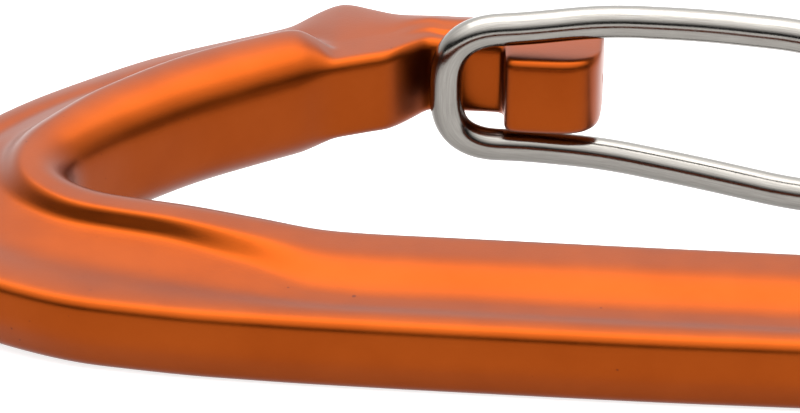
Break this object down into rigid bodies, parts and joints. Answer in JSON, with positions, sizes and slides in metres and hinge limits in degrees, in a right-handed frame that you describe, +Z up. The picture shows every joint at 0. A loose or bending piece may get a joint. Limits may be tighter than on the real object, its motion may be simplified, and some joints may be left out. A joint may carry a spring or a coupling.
{
  "type": "climbing quickdraw",
  "caption": "Climbing quickdraw: a rope-end and a bolt-end forged wiregate carabiner joined by a short sewn webbing sling with a rubber keeper.",
  "frame": {"origin": "centre of the floor outline of the whole draw, at floor level", "axes": "+X from the rope end to the bolt end, +Y from the spines to the gates, +Z up from the floor it lies on"},
  "size_m": [0.2986, 0.0524, 0.019],
  "materials": {
    "orange_anodised": "satin orange anodising over a bead-blasted forging",
    "steel_wire": "smooth drawn stainless spring wire",
    "webbing": "flat woven polyamide",
    "thread": "bonded sewing thread",
    "black_rubber": "matt moulded rubber",
    "label": "plain woven tape"
  },
  "bodies": {
    "rope_carabiner": {"rope_carabiner_body": "orange_anodised"},
    "rope_gate": {"rope_gate_wire": "steel_wire"},
    "sling": {"sling_webbing": "webbing", "rubber_keeper": "black_rubber", "bar_tacks_rope_end": "thread", "bar_tacks_bolt_end": "thread", "bar_tacks_splice": "thread", "woven_label": "label"},
    "bolt_carabiner": {"bolt_carabiner_body": "orange_anodised"},
    "bolt_gate": {"bolt_gate_wire": "steel_wire"}
  },
  "joints": [
    {"name": "rope_gate_hinge", "type": "hinge", "parent": "rope_carabiner", "child": "rope_gate", "pos_m": [-0.065, 0.01097, 0.00953], "axis": [0, -0.1822, 0.9833], "range_deg": [0, 36], "stiffness_Nm_per_rad": 0.15, "springref_deg": -85.94},
    {"name": "sling_on_rope_bar", "type": "hinge", "parent": "rope_carabiner", "child": "sling", "pos_m": [-0.0542, -0.00329, 0.00688], "axis": [0, 0.9833, 0.1822], "range_deg": [-90, 90]},
    {"name": "bolt_carabiner_swing", "type": "hinge", "parent": "sling", "child": "bolt_carabiner", "pos_m": [0.0542, -0.00329, 0.00688], "axis": [0, 0.9833, 0.1822], "range_deg": [-90, 90]},
    {"name": "bolt_gate_hinge", "type": "hinge", "parent": "bolt_carabiner", "child": "bolt_gate", "pos_m": [0.065, 0.01097, 0.00953], "axis": [0, -0.1822, 0.9833], "range_deg": [-36, 0], "stiffness_Nm_per_rad": 0.15, "springref_deg": 85.94}
  ]
}
